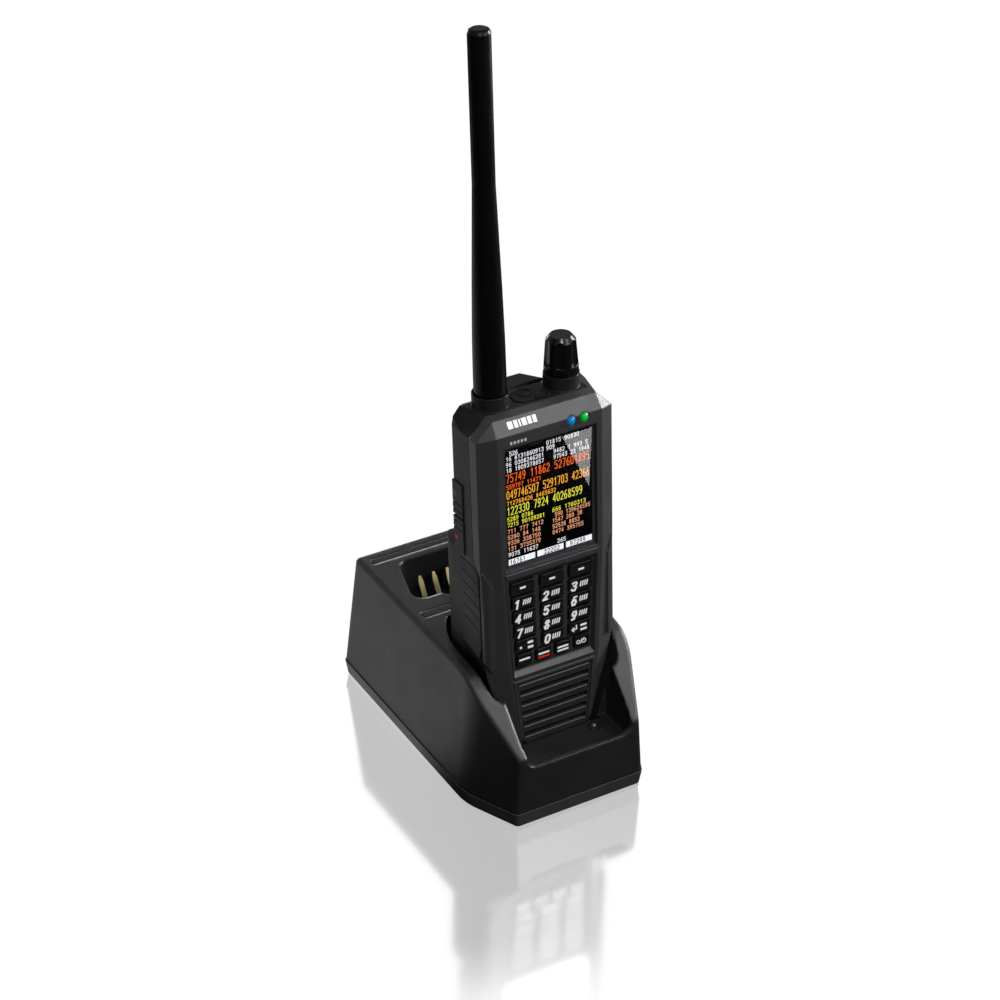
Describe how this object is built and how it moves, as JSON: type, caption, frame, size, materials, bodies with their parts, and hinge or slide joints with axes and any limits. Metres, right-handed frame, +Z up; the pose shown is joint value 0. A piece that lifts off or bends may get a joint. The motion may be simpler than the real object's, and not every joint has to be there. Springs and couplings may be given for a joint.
{
  "type": "police scanner",
  "caption": "Handheld radio scanner with display, keypad, knob and whip antenna, standing in a desktop charging cradle with an empty spare-battery bay.",
  "frame": {"origin": "bottom centre of the whole set, on the surface its feet stand on", "axes": "+Z up and along the antenna within 3 degrees, -Y towards the front where the display faces, +X to the right as seen from the front"},
  "size_m": [0.078, 0.126, 0.3099],
  "materials": {
    "cradle_plastic": "fine-grained moulded plastic, near black",
    "base_plastic": "fine-grained moulded plastic, near black",
    "foot_rubber": "soft rubber",
    "screw_steel": "zinc-plated steel",
    "inlay_plastic": "satin black bars",
    "board_green": "solder-masked board",
    "coil_copper": "wound copper wire",
    "capacitor_sleeve": "shrink sleeve",
    "inlet_plastic": "black socket",
    "contact_block_plastic": "black moulding",
    "contact_gold": "gold-plated spring strip",
    "pocket_block_plastic": "black moulding",
    "pocket_contact_gold": "gold-plated spring strip",
    "light_clear": "clear lens",
    "light_ring_plastic": "black ring",
    "front_plastic": "fine-grained moulded plastic, near black",
    "rear_plastic": "fine-grained moulded plastic, near black",
    "window_glass": "clear window",
    "panel_dark": "display behind the window",
    "main_board_green": "solder-masked board",
    "mat_rubber": "silicone sheet",
    "key_rubber": "hard rubber, near black",
    "speaker_metal": "pressed frame and cone",
    "grille_plastic": "black louvres",
    "blue_lens": "blue lit lens",
    "green_lens": "green lit lens",
    "grip_rubber": "grooved rubber",
    "socket_brass": "gold-plated brass",
    "encoder_metal": "pressed steel",
    "jack_plastic": "black socket",
    "pack_plastic": "fine-grained moulded plastic, near black",
    "cell_sleeve": "shrink sleeve",
    "pack_contact_gold": "gold-plated pads",
    "case_screw_steel": "blackened steel",
    "side_button_rubber": "rubber",
    "side_button_low_rubber": "rubber",
    "shaft_aluminium": "turned",
    "knob_plastic": "satin black",
    "seal_rubber": "rubber ring",
    "antenna_rubber": "smooth rubber sleeve",
    "cover_rubber": "black rubber"
  },
  "bodies": {
    "cradle": {"cradle_housing": "cradle_plastic", "cradle_base": "base_plastic", "rubber_feet": "foot_rubber", "base_screws": "screw_steel", "top_inlays": "inlay_plastic", "charger_board": "board_green", "charger_coil": "coil_copper", "charger_capacitors": "capacitor_sleeve", "power_inlet": "inlet_plastic", "bay_contact_block": "contact_block_plastic", "bay_contacts": "contact_gold", "pocket_contact_block": "pocket_block_plastic", "pocket_contacts": "pocket_contact_gold", "charge_light": "light_clear", "charge_light_ring": "light_ring_plastic"},
    "radio": {"front_shell": "front_plastic", "rear_shell": "rear_plastic", "display_window": "window_glass", "display_panel": "panel_dark", "main_board": "main_board_green", "keypad_mat": "mat_rubber", "speaker": "speaker_metal", "speaker_grille": "grille_plastic", "light_blue": "blue_lens", "light_green": "green_lens", "side_grips": "grip_rubber", "antenna_socket": "socket_brass", "knob_encoder": "encoder_metal", "headphone_jack": "jack_plastic", "battery_pack": "pack_plastic", "battery_cells": "cell_sleeve", "battery_contacts": "pack_contact_gold", "case_screws": "case_screw_steel"},
    "key_soft_1": {"key_soft_1": "key_rubber"},
    "key_soft_2": {"key_soft_2": "key_rubber"},
    "key_soft_3": {"key_soft_3": "key_rubber"},
    "key_1": {"key_1": "key_rubber"},
    "key_2": {"key_2": "key_rubber"},
    "key_3": {"key_3": "key_rubber"},
    "key_4": {"key_4": "key_rubber"},
    "key_5": {"key_5": "key_rubber"},
    "key_6": {"key_6": "key_rubber"},
    "key_7": {"key_7": "key_rubber"},
    "key_8": {"key_8": "key_rubber"},
    "key_9": {"key_9": "key_rubber"},
    "key_point": {"key_point": "key_rubber"},
    "key_0": {"key_0": "key_rubber"},
    "key_enter": {"key_enter": "key_rubber"},
    "key_low_1": {"key_low_1": "key_rubber"},
    "key_low_2": {"key_low_2": "key_rubber"},
    "key_low_3": {"key_low_3": "key_rubber"},
    "key_low_4": {"key_low_4": "key_rubber"},
    "side_button_upper": {"side_button_upper": "side_button_rubber"},
    "side_button_lower": {"side_button_lower": "side_button_low_rubber"},
    "knob_shaft": {"knob_shaft": "shaft_aluminium"},
    "knob": {"knob": "knob_plastic"},
    "antenna_seal": {"antenna_seal": "seal_rubber"},
    "antenna": {"antenna": "antenna_rubber"},
    "jack_cover": {"jack_cover": "cover_rubber"}
  },
  "joints": [
    {"name": "radio_lift", "type": "slide", "parent": "cradle", "child": "radio", "axis": [0, 0.0523, 0.9986], "range_m": [0, 0.06]},
    {"name": "key_soft_1_press", "type": "slide", "parent": "radio", "child": "key_soft_1", "axis": [0, 0.9986, -0.0523], "range_m": [0, 0.0007], "stiffness_N_per_m": 1200, "springref_m": -0.0003},
    {"name": "key_soft_2_press", "type": "slide", "parent": "radio", "child": "key_soft_2", "axis": [0, 0.9986, -0.0523], "range_m": [0, 0.0007], "stiffness_N_per_m": 1200, "springref_m": -0.0003},
    {"name": "key_soft_3_press", "type": "slide", "parent": "radio", "child": "key_soft_3", "axis": [0, 0.9986, -0.0523], "range_m": [0, 0.0007], "stiffness_N_per_m": 1200, "springref_m": -0.0003},
    {"name": "key_1_press", "type": "slide", "parent": "radio", "child": "key_1", "axis": [0, 0.9986, -0.0523], "range_m": [0, 0.0007], "stiffness_N_per_m": 1200, "springref_m": -0.0003},
    {"name": "key_2_press", "type": "slide", "parent": "radio", "child": "key_2", "axis": [0, 0.9986, -0.0523], "range_m": [0, 0.0007], "stiffness_N_per_m": 1200, "springref_m": -0.0003},
    {"name": "key_3_press", "type": "slide", "parent": "radio", "child": "key_3", "axis": [0, 0.9986, -0.0523], "range_m": [0, 0.0007], "stiffness_N_per_m": 1200, "springref_m": -0.0003},
    {"name": "key_4_press", "type": "slide", "parent": "radio", "child": "key_4", "axis": [0, 0.9986, -0.0523], "range_m": [0, 0.0007], "stiffness_N_per_m": 1200, "springref_m": -0.0003},
    {"name": "key_5_press", "type": "slide", "parent": "radio", "child": "key_5", "axis": [0, 0.9986, -0.0523], "range_m": [0, 0.0007], "stiffness_N_per_m": 1200, "springref_m": -0.0003},
    {"name": "key_6_press", "type": "slide", "parent": "radio", "child": "key_6", "axis": [0, 0.9986, -0.0523], "range_m": [0, 0.0007], "stiffness_N_per_m": 1200, "springref_m": -0.0003},
    {"name": "key_7_press", "type": "slide", "parent": "radio", "child": "key_7", "axis": [0, 0.9986, -0.0523], "range_m": [0, 0.0007], "stiffness_N_per_m": 1200, "springref_m": -0.0003},
    {"name": "key_8_press", "type": "slide", "parent": "radio", "child": "key_8", "axis": [0, 0.9986, -0.0523], "range_m": [0, 0.0007], "stiffness_N_per_m": 1200, "springref_m": -0.0003},
    {"name": "key_9_press", "type": "slide", "parent": "radio", "child": "key_9", "axis": [0, 0.9986, -0.0523], "range_m": [0, 0.0007], "stiffness_N_per_m": 1200, "springref_m": -0.0003},
    {"name": "key_point_press", "type": "slide", "parent": "radio", "child": "key_point", "axis": [0, 0.9986, -0.0523], "range_m": [0, 0.0007], "stiffness_N_per_m": 1200, "springref_m": -0.0003},
    {"name": "key_0_press", "type": "slide", "parent": "radio", "child": "key_0", "axis": [0, 0.9986, -0.0523], "range_m": [0, 0.0007], "stiffness_N_per_m": 1200, "springref_m": -0.0003},
    {"name": "key_enter_press", "type": "slide", "parent": "radio", "child": "key_enter", "axis": [0, 0.9986, -0.0523], "range_m": [0, 0.0007], "stiffness_N_per_m": 1200, "springref_m": -0.0003},
    {"name": "key_low_1_press", "type": "slide", "parent": "radio", "child": "key_low_1", "axis": [0, 0.9986, -0.0523], "range_m": [0, 0.0007], "stiffness_N_per_m": 1200, "springref_m": -0.0003},
    {"name": "key_low_2_press", "type": "slide", "parent": "radio", "child": "key_low_2", "axis": [0, 0.9986, -0.0523], "range_m": [0, 0.0007], "stiffness_N_per_m": 1200, "springref_m": -0.0003},
    {"name": "key_low_3_press", "type": "slide", "parent": "radio", "child": "key_low_3", "axis": [0, 0.9986, -0.0523], "range_m": [0, 0.0007], "stiffness_N_per_m": 1200, "springref_m": -0.0003},
    {"name": "key_low_4_press", "type": "slide", "parent": "radio", "child": "key_low_4", "axis": [0, 0.9986, -0.0523], "range_m": [0, 0.0007], "stiffness_N_per_m": 1200, "springref_m": -0.0003},
    {"name": "side_button_upper_press", "type": "slide", "parent": "radio", "child": "side_button_upper", "axis": [1, 0, 0], "range_m": [0, 0.0005], "stiffness_N_per_m": 1500, "springref_m": -0.0003},
    {"name": "side_button_lower_press", "type": "slide", "parent": "radio", "child": "side_button_lower", "axis": [1, 0, 0], "range_m": [0, 0.0005], "stiffness_N_per_m": 1500, "springref_m": -0.0003},
    {"name": "knob_press", "type": "slide", "parent": "radio", "child": "knob_shaft", "axis": [0, -0.0523, -0.9986], "range_m": [0, 0.0005], "stiffness_N_per_m": 2000, "springref_m": -0.0004},
    {"name": "knob_turn", "type": "hinge", "parent": "knob_shaft", "child": "knob", "pos_m": [0.01515, -0.01906, 0.17381], "axis": [0, 0.0523, 0.9986], "continuous": true},
    {"name": "antenna_rise", "type": "slide", "parent": "radio", "child": "antenna_seal", "axis": [0, 0.0523, 0.9986], "range_m": [0, 0.0028]},
    {"name": "antenna_turn", "type": "hinge", "parent": "antenna_seal", "child": "antenna", "pos_m": [-0.01515, -0.01906, 0.17381], "axis": [0, 0.0523, 0.9986], "range_deg": [0, 1440]},
    {"name": "jack_cover_hinge", "type": "hinge", "parent": "radio", "child": "jack_cover", "pos_m": [0, -0.01582, 0.16483], "axis": [-1, 0, 0], "range_deg": [0, 110]}
  ],
  "couplings": [
    {"joint": "antenna_turn", "follows": "antenna_rise", "rad_per_m": 8905.3}
  ]
}
